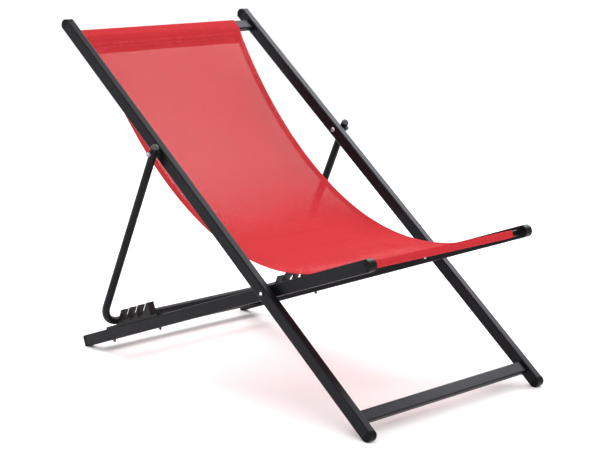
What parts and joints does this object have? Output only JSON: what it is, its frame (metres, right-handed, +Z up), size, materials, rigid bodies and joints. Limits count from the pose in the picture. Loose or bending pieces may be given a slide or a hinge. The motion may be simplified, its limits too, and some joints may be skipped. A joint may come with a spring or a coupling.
{
  "type": "reclining sun lounger",
  "caption": "Folding sling lounger: crossed tube frames on a common pivot, a U-shaped rear support held in notched racks, and a fabric sling seat.",
  "frame": {"origin": "on the ground, under the centre of the overall box", "axes": "+Z up, the sitter faces -Y, +X is the sitter's left"},
  "size_m": [0.649, 0.9898, 0.7774],
  "materials": {
    "frame_tube": "satin black powder coat",
    "end_cap": "moulded, fine grain",
    "rack_plastic": "moulded, matt",
    "washer_plastic": "moulded, matt",
    "plug_plastic": "moulded, satin",
    "bright_steel": "zinc plated",
    "dark_steel": "black zinc",
    "cap_nut_steel": "plated",
    "sling_mesh": "woven PVC-coated mesh, red"
  },
  "bodies": {
    "seat_frame": {"seat_rail_left": "frame_tube", "seat_rail_right": "frame_tube", "front_crossbar": "frame_tube", "rear_crossbar": "frame_tube", "seat_front_cap_left": "end_cap", "seat_front_cap_right": "end_cap", "seat_rear_cap_left": "end_cap", "seat_rear_cap_right": "end_cap", "notch_rack_left": "rack_plastic", "notch_rack_right": "rack_plastic", "rack_screws": "dark_steel", "rack_nuts": "dark_steel", "sling_seat": "sling_mesh"},
    "pivot_bolts": {"pivot_bolt_left": "bright_steel", "pivot_bolt_right": "bright_steel", "pivot_washer_left": "washer_plastic", "pivot_washer_right": "washer_plastic", "pivot_spacer_left": "washer_plastic", "pivot_spacer_right": "washer_plastic", "pivot_nut_left": "bright_steel", "pivot_nut_right": "bright_steel"},
    "back_frame": {"back_rail_left": "frame_tube", "back_rail_right": "frame_tube", "head_crossbar": "frame_tube", "foot_crossbar": "frame_tube", "head_cap_left": "end_cap", "head_cap_right": "end_cap", "foot_cap_left": "end_cap", "foot_cap_right": "end_cap", "sling_back": "sling_mesh"},
    "support_bolts": {"support_bolt_left": "dark_steel", "support_bolt_right": "dark_steel", "support_cap_nut_left": "cap_nut_steel", "support_cap_nut_right": "cap_nut_steel"},
    "support": {"support_frame": "frame_tube", "support_plug_left": "plug_plastic", "support_plug_right": "plug_plastic", "support_spacer_left": "washer_plastic", "support_spacer_right": "washer_plastic", "support_washer_left": "washer_plastic", "support_washer_right": "washer_plastic"}
  },
  "joints": [
    {"name": "back_fold", "type": "hinge", "parent": "seat_frame", "child": "pivot_bolts", "pos_m": [0, -0.17658, 0.25029], "axis": [1, 0, 0], "range_deg": [-58.92, 0], "deforming": ["sling_seat"]},
    {"name": "recline", "type": "hinge", "parent": "pivot_bolts", "child": "back_frame", "pos_m": [0, -0.17658, 0.25029], "axis": [1, 0, 0], "range_deg": [0, 9.3], "deforming": ["sling_back"]},
    {"name": "support_fold", "type": "hinge", "parent": "back_frame", "child": "support_bolts", "pos_m": [0, 0.15254, 0.50717], "axis": [1, 0, 0], "range_deg": [0, 104.76]},
    {"name": "support_swing", "type": "hinge", "parent": "support_bolts", "child": "support", "pos_m": [0, 0.15254, 0.50717], "axis": [1, 0, 0], "range_deg": [0, 75]}
  ],
  "couplings": [
    {"joint": "support_fold", "follows": "back_fold", "ratio": -1.777}
  ]
}
